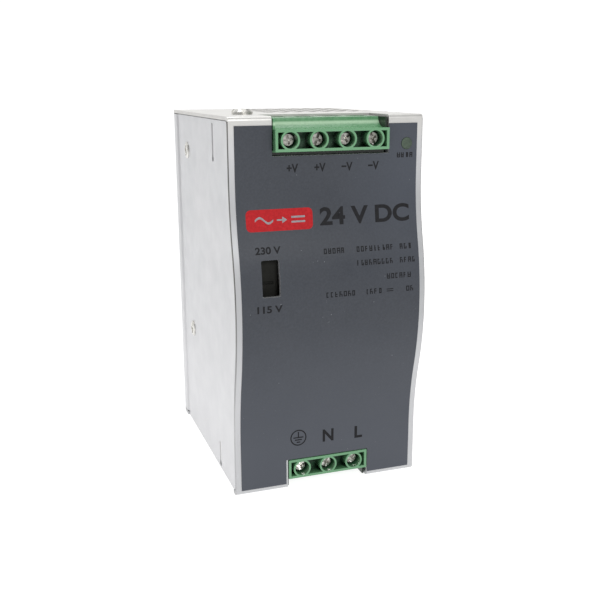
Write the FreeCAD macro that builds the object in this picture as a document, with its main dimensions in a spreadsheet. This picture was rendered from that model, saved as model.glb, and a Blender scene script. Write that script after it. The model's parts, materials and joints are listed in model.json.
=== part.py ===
"""DIN rail power supply in a bent aluminium case, as a parametric FreeCAD document.

Frame: millimetres, +Z up, +X to the right of the front face, -Y out of the front face.
The origin is at the middle of the bottom, half way between the crest of the front bulge
and the rear tips of the rail hooks.
"""

import FreeCAD
import Part
import Sketcher
import math
import os
import re

Vector = FreeCAD.Vector
Rotation = FreeCAD.Rotation

DIMENSIONS = {
    # case
    "width": 65.5, "height": 125.2, "face": -44.4, "rear": 40.6, "hook_rear": 50.0, "bulge": 5.4,
    "reach": 44.0, "crest": 22.0, "middle": 62.6, "bend": 1.4, "cover": 1.2, "wall": 1.5, "panel": 1.2,
    "seam": 0.3, "panel_inset": 0.6, "panel_back": 2.0, "panel_gap": 0.1, "skirt_front": -41.0,
    "lip": 6.5, "flange_depth": 9.6, "flange_reach": 12.2, "flange_rear": 24.0,
    "roof_flange_front": -29.0, "floor_flange_front": -19.0, "label": 0.2, "label_border": 1.95,
    "label_gap": 0.05, "ear_front": -24.3, "ear_rear": -17.5,
    # vent field, one pattern through the top and the bottom
    "vent_radius": 1.9, "vent_pitch": 5.3, "vent_left": -9.0, "vent_front": -8.6,
    # terminal blocks: depths run in from the block's front, drops run in from its outer end
    "output_front": -47.2, "input_front": -44.65, "output_centre": 0.65, "input_centre": 0.3,
    "output_board": -22.6, "input_board": -21.6, "base_shift": -0.6, "pole_pitch": 9.5,
    "block_margin": 0.1, "border": 0.85, "axis_drop": 7.3, "shelf_drop": 4.0, "frame_drop": 10.8,
    "mouth_drop": 0.7, "tuck_drop": 2.2, "base_drop": 13.6, "mouth_end": 18.1, "pocket": 5.0,
    "ring_radius": 3.1, "well_radius": 2.5, "cheek": 0.6, "cheek_depth": 2.3, "cove_radius": 4.1,
    "cove_depth": 3.7, "notch_gap": 0.3, "output_sill": 1.4, "notch_side_gap": 0.95, "cavity_half": 3.4,
    "cavity_front": 5.3, "cavity_rear": 19.3, "cavity_top": 4.2, "cavity_foot": 10.6, "entry_half": 2.5,
    "entry_front": 13.2, "entry_rear": 17.7,
    # terminal screw, rising clamp and contact
    "head_radius": 2.3, "head_height": 2.6, "head_depth": 5.2, "shank_radius": 1.45,
    "thread_radius": 1.5, "clamp_half": 3.1, "clamp_front": 9.0, "clamp_rear": 18.9, "clamp_nut": 1.8,
    "clamp_floor": 1.2, "clamp_side": 0.8, "clamp_rise": 2.9, "contact_half": 1.9,
    "contact_depth": 12.4, "contact_sheet": 0.8, "contact_foot": 12.8,
    # boards
    "board": 1.6, "board_x": -27.25, "board_front": -19.5, "board_rear": 36.0, "board_low": 7.0,
    "board_high": 118.0, "sink_front": 12.0, "sink_rear": 35.0, "slit_half": 0.85, "slit_end": 1.05,
    "output_slit": 111.0, "input_slit": 1.7, "output_slit_height": 11.4, "input_slit_height": 8.5,
    "output_recess": 0.7, "input_recess": 0.15, "end_board_left": -30.3, "end_board_right": 29.5,
    "arm_front": -42.5, "arm_low": 60.0, "arm_high": 88.0, "post_radius": 3.0, "post_front": -16.4,
    "post_rear": 9.5, "post_middle": 4.0, "post_low": 10.5, "post_high": 114.5, "post_inner": 87.0,
    "link": 2.5, "output_link": 104.8, "output_link_height": 6.2, "input_link": 15.5,
    "input_link_height": 8.5, "isolation": 0.4, "film_low": 13.8, "film_high": 111.2, "film_rear": 10.0,
    "pin_gap": 0.1, "end_board_gap": 3.4, "end_board_drop": 32.0,
    # selector switch behind its slot
    "slot_left": -23.9, "slot_right": -18.0, "slot_low": 69.4, "slot_high": 81.0, "slot_corner": 0.6,
    "switch_front": -43.9, "switch_rear": -35.0, "switch_low": 64.0, "switch_high": 83.0,
    "slider_front": -45.3, "slider_half": 1.9, "slider_low": 71.2, "slider_high": 75.2,
    "slider_travel": 4.0, "slider_gap": 0.3,
    "shutter": 1.2, "shutter_low": 65.1, "shutter_high": 81.3, "shutter_side": 0.3,
    # lamp and trimmer
    "lamp_x": 27.1, "lamp_z": 115.9, "lamp_radius": 1.85, "lamp_collar": 2.4, "lamp_proud": 0.35,
    "trimmer_x": 22.0, "trimmer_radius": 2.4, "trimmer_top": 117.0,
    # metal screws
    "case_shank": 1.45, "case_hole": 1.55, "side_head": 3.0, "side_head_height": 0.6, "top_head": 3.5,
    "top_head_height": 1.7, "sunk_head": 2.7, "cover_screw_x": -22.75, "cover_screw_y": -25.0,
    "floor_screw_y": -14.0, "rear_screw_y": 18.0, "small_head": 2.6, "small_head_height": 1.6,
    "side_screw_y": 18.9, "side_screw_high": 111.0, "side_screw_low": 41.8,
    # parts on the main board
    "bulk_radius": 11.0, "bulk_length": 40.0, "bulk_y": -5.5, "bulk_low": 44.0, "bulk_high": 68.0,
    "core_low": 59.0, "core_high": 91.0, "core_front": 9.0, "core_rear": 35.0, "core_leg": 4.0,
    "core_left": -20.0, "core_right": -4.0, "coil_left": -24.5, "coil_right": 1.0, "sink_sheet": 2.5,
    "sink_right": 10.0, "sink_low_a": 30.0, "sink_high_a": 55.0, "sink_low_b": 96.0,
    "sink_high_b": 117.5, "ring_core": 6.5, "ring_section": 2.4, "wire_loop": 3.0, "wire_radius": 0.5,
    "filter_y": -4.0, "filter_z": 19.0, "choke_y": 0.5, "choke_z": 106.0, "small_can": 5.0,
    "small_can_length": 22.0, "can_front": -15.0, "can_rear": -4.4, "can_low": 87.0, "can_high": 98.5,
    "package": 10.0, "package_depth": 4.4, "package_height": 15.0, "package_left": -20.0,
    "package_right": -4.0, "switch_device": 37.0, "rectifier_device": 101.0, "lead": 0.6,
    "lead_width": 0.8, "lead_pitch": 2.6, "lead_step": 1.2, "bridge_left": -6.0, "bridge_right": 8.0,
    "bridge_low": 34.0, "bridge_high": 52.0, "bridge_depth": 4.0, "film_cap_width": 14.0,
    "film_cap_front": 13.0, "film_cap_rear": 28.5, "film_cap_low": 8.5, "film_cap_high": 20.0,
    "disc_x": -20.0, "disc_radius": 4.2, "disc_front": 6.8, "disc_rear": 9.8, "disc_low": 35.0,
    "disc_high": 46.0, "inrush_x": -18.0, "inrush_z": 15.0, "inrush_front": 30.5, "inrush_rear": 34.5,
    "inrush_radius": 5.5, "fuse_z": 23.0, "fuse_front": 13.0, "fuse_rear": 35.0, "fuse_cap": 5.0,
    "fuse_radius": 2.6, "chip": 3.5, "chip_front": -30.0, "chip_rear": -23.5, "chip_low": 62.0,
    "chip_high": 76.0, "chip_height": 10.0,
    # rail clip
    "rail": 35.0, "seat": 46.5, "steel": 1.5, "clip_half": 20.0, "clip_low": 20.0, "clip_step": 40.0,
    "clip_top": 86.5, "clip_high": 97.0, "hook_grip": 1.2, "hook_gap": 1.3, "hook_half": 4.0,
    "hook_x": 12.0, "latch_half": 8.0, "latch_in": 43.2, "latch_top": 73.0, "latch_foot": 6.0,
    "latch_hook_half": 6.0, "guide_gap": 0.4, "guide_low": 24.0, "guide_high": 34.0, "anchor": 48.0,
    "spring_top": 64.5, "spring_radius": 1.6, "spring_wire": 0.25, "spring_pitch": 2.0,
    "spring_y": 42.8, "window_half": 2.6, "clip_screw_x": 15.0, "clip_screw_high": 92.5,
    "clip_screw_low": 25.5,
}

AXES = {"X": Vector(1, 0, 0), "Y": Vector(0, 1, 0), "Z": Vector(0, 0, 1)}
# rotations that lay a piece's own Z along each axis
ALONG = {
    "X": Rotation(Vector(0, 1, 0), 90), "Y": Rotation(Vector(1, 0, 0), -90), "Z": Rotation(),
    "-X": Rotation(Vector(0, 1, 0), -90), "-Y": Rotation(Vector(1, 0, 0), 90),
    "-Z": Rotation(Vector(1, 0, 0), 180),
}
# sketch planes across each axis: X holds (Y, Z), Y holds (X, Z) and Z holds (X, Y)
ACROSS = {
    "X": Rotation(Vector(0, 1, 0), Vector(0, 0, 1), Vector(1, 0, 0), "ZXY"),
    "Y": Rotation(Vector(1, 0, 0), Vector(0, 0, 1), Vector(0, -1, 0), "ZXY"),
    "Z": Rotation(),
}

doc = FreeCAD.newDocument("din_rail_power_supply")
sheet = doc.addObject("Spreadsheet::Sheet", "dims")
for row, (alias, value) in enumerate(DIMENSIONS.items(), start=1):
    sheet.set(f"A{row}", alias)
    sheet.set(f"B{row}", str(value))
    sheet.setAlias(f"B{row}", alias)
doc.recompute()
sub_parts = []


# ---------------------------------------------------------------- helpers

def refer(text):
    """Point the sheet's names inside an expression at their cells."""
    def cell(word):
        return f"dims.{word.group()}" if word.group() in DIMENSIONS else word.group()
    return re.sub(r"[a-z_]+", cell, str(text))


def measure(text):
    return float(sheet.evalExpression(refer(text)))


def bind(item, **expressions):
    for name, text in expressions.items():
        item.setExpression(name, refer(text))
    return item


def locate(item, point, turn="Z", spin=0):
    """Place a piece; spin is in degrees about its own axis."""
    item.Placement = FreeCAD.Placement(Vector(), ALONG[turn] * Rotation(AXES["Z"], spin))
    for letter, text in zip("xyz", point):
        item.setExpression(f"Placement.Base.{letter}", refer(text))
    return item


def block(x, y, z):
    """A box between two planes along each axis."""
    box = doc.addObject("Part::Box", "block")
    for name, (low, high) in zip(("Length", "Width", "Height"), (x, y, z)):
        box.setExpression(name, refer(f"({high}) - ({low})"))
    return locate(box, (x[0], y[0], z[0]))


def rod(axis, centre, span, radius):
    """A cylinder along an axis; centre gives the other two coordinates in X, Y, Z order."""
    cylinder = doc.addObject("Part::Cylinder", "rod")
    bind(cylinder, Radius=radius, Height=f"({span[1]}) - ({span[0]})")
    point = list(centre)
    point.insert("XYZ".index(axis), span[0])
    return locate(cylinder, point, axis)


def ring(axis, centre, radius, section, turn=None):
    """A torus; turn is a rotation in degrees about X for a loop around a ring core."""
    torus = doc.addObject("Part::Torus", "ring")
    bind(torus, Radius1=radius, Radius2=section)
    locate(torus, centre, axis)
    if turn is not None:
        torus.Placement = FreeCAD.Placement(Vector(), Rotation(AXES["X"], turn))
    return torus


def fuse(*pieces):
    union = doc.addObject("Part::MultiFuse", "union")
    union.Shapes = list(pieces)
    union.Refine = True
    return union


def group(*pieces):
    bundle = doc.addObject("Part::Compound", "group")
    bundle.Links = list(pieces)
    return bundle


def cut(base, *tools):
    result = doc.addObject("Part::Cut", "cut")
    result.Base = base
    result.Tool = tools[0] if len(tools) == 1 else fuse(*tools)
    return result


def sketch_at(axis, level="0"):
    sketch = doc.addObject("Sketcher::SketchObject", "outline")
    sketch.Placement = FreeCAD.Placement(Vector(), ACROSS[axis])
    sketch.setExpression(f"Placement.Base.{axis.lower()}", refer(level))
    return sketch


def fix(sketch, kind, where, text):
    """Add a sketch dimension that follows the sheet."""
    index = sketch.addConstraint(Sketcher.Constraint(kind, *where, measure(text)))
    sketch.setExpression(f"Constraints[{index}]", refer(text))


def draw(sketch, points, closed=True):
    """Straight lines through points, each corner's place bound to the sheet."""
    corners = [Vector(measure(across), measure(up), 0) for across, up in points]
    count = len(points)
    for index in range(count if closed else count - 1):
        line = Part.LineSegment(corners[index], corners[(index + 1) % count])
        sketch.addGeometry(line, False)
        if index:
            sketch.addConstraint(Sketcher.Constraint("Coincident", index - 1, 2, index, 1))
    last = count - 1 if closed else count - 2
    if closed:
        sketch.addConstraint(Sketcher.Constraint("Coincident", last, 2, 0, 1))
    ends = [(index, 1) for index in range(last + 1)] + ([] if closed else [(last, 2)])
    for (line, end), (across, up) in zip(ends, points):
        fix(sketch, "DistanceX", (-1, 1, line, end), across)
        fix(sketch, "DistanceY", (-1, 1, line, end), up)
    return sketch


def extrude(axis, profile, span):
    solid = doc.addObject("Part::Extrusion", "prism")
    solid.Base = profile
    solid.DirMode = "Custom"
    solid.Dir = AXES[axis]
    solid.Solid = True
    return bind(solid, LengthFwd=f"({span[1]}) - ({span[0]})")


def prism(axis, points, span):
    return extrude(axis, draw(sketch_at(axis, span[0]), points), span)


def sheet_band(path, thickness):
    """A closed band of one thickness along an open path; the sign picks the side."""
    band = doc.addObject("Part::Offset2D", "band")
    band.Source = path
    band.Mode = "Skin"
    band.Fill = True
    return bind(band, Value=thickness)


def bent_sheet(axis, points, thickness, span):
    path = draw(sketch_at(axis, span[0]), points, closed=False)
    return extrude(axis, sheet_band(path, thickness), span)


def keep(item, label):
    """Name a finished sub-part."""
    item.Label = label
    sub_parts.append(item)
    return item


def opposite(text):
    return f"-({text})"


def origin_plane(body, role):
    return next(item for item in body.Origin.OriginFeatures if item.Role == role)


def screw(point, outward, head, head_height, shank, length, sunk=False, slotted=False, spin=0):
    """A screw with a cross recess; point is the middle of the head's underside.

    A pan head has a chamfered rim. A slotted one has two arms that run on across the rim.
    """
    body = doc.addObject("PartDesign::Body", "screw")
    profile = body.newObject("Sketcher::SketchObject", "screw_profile")
    profile.AttachmentSupport = [(origin_plane(body, "XZ_Plane"), "")]
    profile.MapMode = "FlatFace"
    if sunk:
        rim = [(head, head_height), (shank, "0")]
    else:
        rim = [(f"0.78 * ({head})", head_height), (head, f"0.5 * ({head_height})"), (head, "0"),
               (shank, "0")]
    draw(profile, [("0", head_height), *rim, (shank, f"-({length})"), ("0", f"-({length})")])
    turned = body.newObject("PartDesign::Revolution", "turned")
    turned.Profile = profile
    turned.ReferenceAxis = (profile, ["V_Axis"])
    turned.Angle = 360
    cross = body.newObject("Sketcher::SketchObject", "recess_profile")
    cross.AttachmentSupport = [(origin_plane(body, "XY_Plane"), "")]
    cross.MapMode = "FlatFace"
    cross.setExpression(".AttachmentOffset.Base.z", refer(head_height))
    arm, half = f"0.62 * ({head})", f"0.19 * ({head})"
    reach = f"1.1 * ({head})" if slotted else arm
    quarters = [(reach, half, arm), (arm, half, reach)]
    corners = []
    for turn, (along, beside, up) in enumerate(quarters + quarters):
        for a, b in ((along, beside), (beside, beside), (beside, up)):
            for _ in range(turn):
                a, b = opposite(b), a
            corners.append((a, b))
    draw(cross, corners)
    pocket = body.newObject("PartDesign::Pocket", "recess")
    pocket.Profile = cross
    pocket.setExpression("Length", refer(f"0.5 * ({head_height})"))
    body.Tip = pocket
    return locate(body, point, outward, spin)


def case_outline(inset, rear, closed, level="0"):
    """The case's side outline set in by a distance: floor, front flats with the bulge, roof."""
    sketch = sketch_at("X", level)
    slope = "2 * atan(bulge / reach)"
    knee = f"(reach - crest) / sin({slope}) + ({inset})"
    belly = f"crest / sin({slope}) - ({inset})"
    front, corner = measure(f"face + ({inset})"), measure("bend")
    low, high, back = measure(inset), measure(f"height - ({inset})"), measure(rear)
    middle, reach, bulge = measure("middle"), measure("reach"), measure("bulge")
    turn = 2 * math.atan(bulge / reach)

    def arc(centre_y, centre_z, radius, start, end):
        circle = Part.Circle(Vector(centre_y, centre_z, 0), Vector(0, 0, 1), radius)
        return Part.ArcOfCircle(circle, start, end)

    def line(*ends):
        return Part.LineSegment(*[Vector(y, z, 0) for y, z in ends])

    outline = [
        line((back, low), (front + corner, low)),
        arc(front + corner, low + corner, corner, math.pi, 1.5 * math.pi),
        line((front, low + corner), (front, middle - reach)),
        arc(front - measure(knee), middle - reach, measure(knee), 0, turn),
        arc(front - bulge + measure(belly), middle, measure(belly), math.pi - turn, math.pi + turn),
        arc(front - measure(knee), middle + reach, measure(knee), -turn, 0),
        line((front, middle + reach), (front, high - corner)),
        arc(front + corner, high - corner, corner, 0.5 * math.pi, math.pi),
        line((front + corner, high), (back, high)),
    ]
    for piece in outline:
        sketch.addGeometry(piece, False)
    joints = [(0, 2, 1, 2), (1, 1, 2, 1), (2, 2, 3, 1), (3, 2, 4, 2), (4, 1, 5, 1), (5, 2, 6, 1),
              (6, 2, 7, 2), (7, 1, 8, 1)]
    for joint in joints:
        sketch.addConstraint(Sketcher.Constraint("Tangent", *joint))
    for kind, index in (("Horizontal", 0), ("Vertical", 2), ("Vertical", 6), ("Horizontal", 8)):
        sketch.addConstraint(Sketcher.Constraint(kind, index))
    fix(sketch, "DistanceX", (-1, 1, 0, 1), rear)
    fix(sketch, "DistanceY", (-1, 1, 0, 1), inset)
    fix(sketch, "DistanceX", (-1, 1, 2, 1), f"face + ({inset})")
    fix(sketch, "DistanceX", (-1, 1, 6, 1), f"face + ({inset})")
    fix(sketch, "DistanceY", (-1, 1, 8, 1), f"height - ({inset})")
    fix(sketch, "DistanceX", (-1, 1, 8, 2), rear)
    fix(sketch, "DistanceY", (-1, 1, 3, 1), "middle - reach")
    fix(sketch, "DistanceY", (-1, 1, 5, 2), "middle + reach")
    fix(sketch, "Radius", (1,), "bend")
    fix(sketch, "Radius", (7,), "bend")
    fix(sketch, "Radius", (3,), knee)
    fix(sketch, "Radius", (4,), belly)
    fix(sketch, "Radius", (5,), knee)
    if closed:
        sketch.addGeometry(line((back, high), (back, low)), False)
        sketch.addConstraint(Sketcher.Constraint("Coincident", 8, 2, 9, 1))
        sketch.addConstraint(Sketcher.Constraint("Coincident", 9, 2, 0, 1))
    return sketch


# ---------------------------------------------------------------- case

SIDES = {
    "output": {"poles": 4, "end": "height", "sign": "-"},
    "input": {"poles": 3, "end": "base_shift", "sign": "+"},
}
INSIDE = "cover + seam"
PANEL_OUTER = "panel_inset - width / 2"
PANEL_INNER = "panel_inset + panel - width / 2"
FACE_X = "board_x + board"


def depth(side, distance):
    """Y at a depth behind a terminal block's front."""
    return f"{side}_front + ({distance})"


def drop(side, distance):
    """Z at a distance in from a terminal block's outer end."""
    return f"{SIDES[side]['end']} {SIDES[side]['sign']} ({distance})"


def drops(side, near, far):
    """Two drops in rising order of Z."""
    pair = (drop(side, near), drop(side, far))
    return pair if SIDES[side]["sign"] == "+" else pair[::-1]


def block_edges(side):
    half = f"{SIDES[side]['poles']} * pole_pitch / 2 + block_margin"
    return f"{side}_centre - ({half})", f"{side}_centre + ({half})"


def pole_centres(side):
    count = SIDES[side]["poles"]
    return [f"{side}_centre + {index - (count - 1) / 2} * pole_pitch" for index in range(count)]


def terminal_notch(side, left_gap, right_gap, inner_gap):
    """The space a terminal block needs through the front and the roof or floor."""
    left, right = block_edges(side)
    low, high = drops(side, "-5", f"frame_drop + {inner_gap}")
    return block((f"{left} - ({left_gap})", f"{right} + {right_gap}"),
                 ("face - 10", depth(side, "mouth_end + notch_gap")), (low, high))


def vents():
    """Staggered rows of round holes, each rod passing through the roof and the floor."""
    holes = []
    for row in range(10):
        stagger = row % 2
        for column in range(8 - stagger):
            across = f"vent_left + {column + 0.5 * stagger} * vent_pitch"
            back = f"vent_front + {row} * vent_pitch * sin(60)"
            holes.append(rod("Z", (across, back), ("-1", "height + 1"), "vent_radius"))
    return group(*holes)


def slot_cutter(grow):
    """The selector slot with rounded corners, grown by a margin."""
    x = (f"slot_left - {grow}", f"slot_right + {grow}")
    z = (f"slot_low - {grow}", f"slot_high + {grow}")
    y = ("face - 12", "face + 5")
    inner_x = (f"{x[0]} + slot_corner", f"{x[1]} - slot_corner")
    inner_z = (f"{z[0]} + slot_corner", f"{z[1]} - slot_corner")
    corners = [rod("Y", (across, up), y, "slot_corner") for across in inner_x for up in inner_z]
    return fuse(block(inner_x, y, z), block(x, y, inner_z), *corners)


def front_cover():
    """Front, roof and floor in one bent sheet."""
    path = case_outline("0", "rear - wall - 0.1", closed=False, level="-width / 2")
    shell = extrude("X", sheet_band(path, "cover"), ("-width / 2", "width / 2"))
    lamp = rod("Y", ("lamp_x", "lamp_z"), ("face - 2", "face + 4"), "lamp_radius + 0.1")
    roof_screw = rod("Z", ("cover_screw_x", "cover_screw_y"), ("height - 3", "height + 1"),
                     "case_hole")
    floor_screws = [cone_hole(y) for y in ("floor_screw_y", "rear_screw_y")]
    ear_slot = block(("width / 2 - wall - 0.1", "width / 2 + 1"),
                     ("ear_front - 0.2", "ear_rear + 0.2"), ("height - 3", "height + 1"))
    skirt_room = block(("-width / 2 - 1", f"{PANEL_INNER} + panel_gap"),
                       ("skirt_front - panel_gap", "rear - lip - panel_gap"),
                       ("-1", INSIDE))
    openings = [skirt_room, terminal_notch("output", "notch_gap", "notch_side_gap", "output_sill"),
                terminal_notch("input", "notch_gap", "notch_gap", "notch_gap"),
                slot_cutter("0"), lamp, roof_screw, *floor_screws, ear_slot]
    keep(cut(cut(shell, *openings), vents()), "front_cover")


def cone_hole(y):
    """A countersunk hole up through the floor."""
    cone = doc.addObject("Part::Cone", "countersink")
    bind(cone, Radius1="sunk_head + 0.05", Radius2="case_hole", Height="cover + 0.05")
    locate(cone, ("cover_screw_x", y, "-0.05"))
    return fuse(cone, rod("Z", ("cover_screw_x", y), ("-0.5", "3"), "case_hole"))


def front_label():
    """Printed sheet over the front face, cut back around the terminal blocks."""
    path = case_outline("0", "face + 6", closed=False, level="-width / 2 + label_border")
    span = ("-width / 2 + label_border", "width / 2 - label_border")
    skin = extrude("X", sheet_band(path, "-label"), span)
    face_only = block(span, ("face - 12", "face + 0.1"), ("bend + 0.3", "height - 2.8"))
    trimmed = doc.addObject("Part::Common", "face_skin")
    trimmed.Base = skin
    trimmed.Tool = face_only
    lamp = rod("Y", ("lamp_x", "lamp_z"), ("face - 2", "face + 4"), "lamp_radius + 0.1")
    output_notch = terminal_notch("output", "notch_gap + label_gap", "notch_side_gap + label_gap",
                                  "output_sill + label_gap")
    input_notch = terminal_notch("input", "notch_gap + 0.6", "notch_gap + label_gap",
                                 "notch_gap + label_gap")
    keep(cut(trimmed, output_notch, input_notch, slot_cutter("label_gap"), lamp), "front_label")


def chassis():
    """Right wall, rear wall and the left rear lip that steps in behind the side panel."""
    wall = extrude("X", case_outline(INSIDE, "rear - wall", True, "width / 2 - wall"),
                   ("width / 2 - wall", "width / 2"))
    path = [("width / 2 - wall", "rear - wall - 12"), ("width / 2 - wall", "rear - wall"),
            ("wall - width / 2", "rear - wall"), ("wall - width / 2", "rear - lip + wall"),
            ("panel + wall + panel_inset - width / 2 + 0.05", "rear - lip + wall"),
            ("panel + wall + panel_inset - width / 2 + 0.05", "rear - lip - flange_depth")]
    band = bent_sheet("Z", path, "wall", ("0", "height"))
    roof = block(("-width", "width"), ("0", "rear - wall"), (f"height - ({INSIDE})", "height + 1"))
    floor = block(("-width", "width"), ("0", "rear - wall"), ("-1", INSIDE))
    holes = [rod("Y", (x, z), ("rear - 5", "rear + 5"), "case_hole") for x, z in clip_screws()]
    ear = block(("width / 2 - wall", "width / 2"), ("ear_front", "ear_rear"),
                ("height - 6", "height - 0.2"))
    keep(cut(fuse(wall, cut(band, roof, floor), ear), *holes), "chassis")


def slit_span(side):
    """Lowest and highest point of the slit at the end of a terminal block's board."""
    return f"{side}_slit", f"{side}_slit + {side}_slit_height"


def side_panel():
    """Left side: a flat panel with inner flanges under the roof and over the floor."""
    plate = extrude("X", case_outline(INSIDE, "rear - lip - 0.2 - panel_back", True, PANEL_OUTER),
                    (PANEL_OUTER, PANEL_INNER))
    plate.setExpression("Placement.Base.y", refer("panel_back"))
    skirt = block((PANEL_OUTER, PANEL_INNER), ("skirt_front", "rear - lip - 0.2"),
                  ("panel_gap", "2 * cover"))
    flange_x = (PANEL_INNER, f"{PANEL_INNER} + flange_reach")
    roof_flange = block(flange_x, ("roof_flange_front", "flange_rear"),
                        (f"height - ({INSIDE}) - panel", f"height - ({INSIDE})"))
    floor_flange = block(flange_x, ("floor_flange_front", "flange_rear"),
                         (INSIDE, f"{INSIDE} + panel"))
    through = ("-width / 2", f"{PANEL_INNER} + 0.1")
    cuts = [rod("X", ("side_screw_y", z), through, "case_hole")
            for z in ("side_screw_high", "side_screw_low")]
    for side in SIDES:
        middle = f"{side}_board + board / 2"
        low, high = slit_span(side)
        cuts.append(block(through, (f"{middle} - slit_half", f"{middle} + slit_half"), (low, high)))
        cuts.append(rod("X", (middle, low), through, "slit_end"))
    cuts.append(rod("Z", ("cover_screw_x", "cover_screw_y"), ("height - 10", "height + 1"),
                    "case_hole"))
    cuts += [rod("Z", ("cover_screw_x", y), ("-1", "10"), "case_hole")
             for y in ("floor_screw_y", "rear_screw_y")]
    keep(cut(fuse(plate, skirt, roof_flange, floor_flange), *cuts), "side_panel")


def case_screws():
    keep(group(*[screw((PANEL_OUTER, "side_screw_y", z), "-X", "side_head", "side_head_height",
                       "case_shank", "3.5") for z in ("side_screw_high", "side_screw_low")]),
         "side_screws")
    keep(screw(("cover_screw_x", "cover_screw_y", "height"), "Z", "top_head", "top_head_height",
               "case_shank", "4", slotted=True), "top_screw")
    keep(group(*[screw(("cover_screw_x", y, "cover"), "-Z", "sunk_head", "cover", "case_shank",
                       "3", sunk=True) for y in ("floor_screw_y", "rear_screw_y")]),
         "bottom_screws")


# ---------------------------------------------------------------- terminal blocks

def terminal_housing(side):
    """Moulded block: framed wells in front, a coved roof and a wire entry to each pole."""
    left, right = block_edges(side)
    inner_face = "face + cover + 0.2"
    profile = [(depth(side, "0"), drop(side, "frame_drop")),
               (depth(side, "0"), drop(side, "shelf_drop")),
               (depth(side, "cheek_depth"), drop(side, "shelf_drop")),
               (depth(side, "cheek_depth"), drop(side, "mouth_drop")),
               (depth(side, "mouth_end"), drop(side, "mouth_drop")),
               (depth(side, "mouth_end"), drop(side, "tuck_drop")),
               (f"{side}_board", drop(side, "tuck_drop")),
               (f"{side}_board", drop(side, "base_drop")),
               (inner_face, drop(side, "base_drop")),
               (inner_face, drop(side, "frame_drop"))]
    solid = prism("X", profile, (left, right))
    pocket = block((f"{left} + border", f"{right} - border"),
                   (depth(side, "-1"), depth(side, "pocket")),
                   drops(side, "shelf_drop + border", "frame_drop - border"))
    cove_x = (f"{left} + cheek", f"{right} - cheek")
    cove = [rod("X", (depth(side, "cove_depth"), drop(side, "shelf_drop - cove_radius")), cove_x,
                "cove_radius"),
            block(cove_x, (depth(side, "cheek_depth - 1"), depth(side, "cove_depth")),
                  drops(side, "-1", "shelf_drop"))]
    axis = drop(side, "axis_drop")
    rings = [rod("Y", (x, axis), (depth(side, "0"), depth(side, "pocket + 0.5")), "ring_radius")
             for x in pole_centres(side)]
    hollows = []
    for x in pole_centres(side):
        wide = (f"{x} - cavity_half", f"{x} + cavity_half")
        entry = (f"{x} - entry_half", f"{x} + entry_half")
        funnel = (f"{x} - entry_half - 0.5", f"{x} + entry_half + 0.5")
        lead = (f"{x} - contact_half - 0.2", f"{x} + contact_half + 0.2")
        hollows += [
            rod("Y", (x, axis), (depth(side, "-1"), depth(side, "cavity_front + 0.5")),
                "well_radius"),
            block(wide, (depth(side, "cavity_front"), depth(side, "cavity_rear")),
                  drops(side, "cavity_top", "cavity_foot")),
            block(entry, (depth(side, "entry_front"), depth(side, "entry_rear")),
                  drops(side, "-1", "cavity_top + 0.1")),
            block(funnel, (depth(side, "entry_front - 0.4"), depth(side, "entry_rear + 0.1")),
                  drops(side, "-1", "mouth_drop + 0.7")),
            block(lead, (depth(side, "contact_depth - 0.2"), depth(side, "entry_front + 0.2")),
                  drops(side, "cavity_foot - 0.1", "contact_foot + 0.2")),
            block(lead, (depth(side, "contact_depth - 0.2"), f"{side}_board + 1"),
                  drops(side, "contact_foot - contact_sheet - 0.2", "contact_foot + 0.2")),
        ]
    keep(cut(fuse(cut(solid, pocket, *cove), *rings), *hollows), f"{side}_terminal_housing")


def terminal_contacts(side):
    """Each pole's strip: upright inside the clamp, then a foot back through the board."""
    strips = []
    for x in pole_centres(side):
        span = (f"{x} - contact_half", f"{x} + contact_half")
        upright = block(span, (depth(side, "contact_depth"),
                               depth(side, "contact_depth + contact_sheet")),
                        drops(side, "cavity_top + 0.6", "contact_foot"))
        foot = block(span, (depth(side, "contact_depth"), f"{side}_board + board + 0.6"),
                     drops(side, "contact_foot - contact_sheet", "contact_foot"))
        strips.append(fuse(upright, foot))
    keep(group(*strips), f"{side}_contacts")


def terminal_screws(side):
    """The screws, each left at its own angle as they would be after tightening."""
    for number, (x, spin) in enumerate(zip(pole_centres(side), (12, 70, 38, 110)), start=1):
        keep(screw((x, depth(side, "head_depth"), drop(side, "axis_drop")), "-Y", "head_radius",
                   "head_height", "shank_radius", "contact_depth - head_depth - 0.05",
                   slotted=True, spin=spin), f"{side}_screw_{number}")


def terminal_clamps(side):
    """Rising clamp: a square loop, threaded in front, that pulls the wire to the strip."""
    for number, x in enumerate(pole_centres(side), start=1):
        height_span = drops(side, "axis_drop - clamp_rise", "axis_drop + clamp_rise")
        loop = block((f"{x} - clamp_half", f"{x} + clamp_half"),
                     (depth(side, "clamp_front"), depth(side, "clamp_rear")), height_span)
        window = block((f"{x} - clamp_half + clamp_side", f"{x} + clamp_half - clamp_side"),
                       (depth(side, "clamp_front + clamp_nut"),
                        depth(side, "clamp_rear - clamp_floor")),
                       drops(side, "0", "frame_drop + 2"))
        thread = rod("Y", (x, drop(side, "axis_drop")),
                     (depth(side, "clamp_front - 1"), depth(side, "clamp_front + clamp_nut + 1")),
                     "thread_radius")
        keep(cut(loop, window, thread), f"{side}_clamp_{number}")


# ---------------------------------------------------------------- boards

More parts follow.
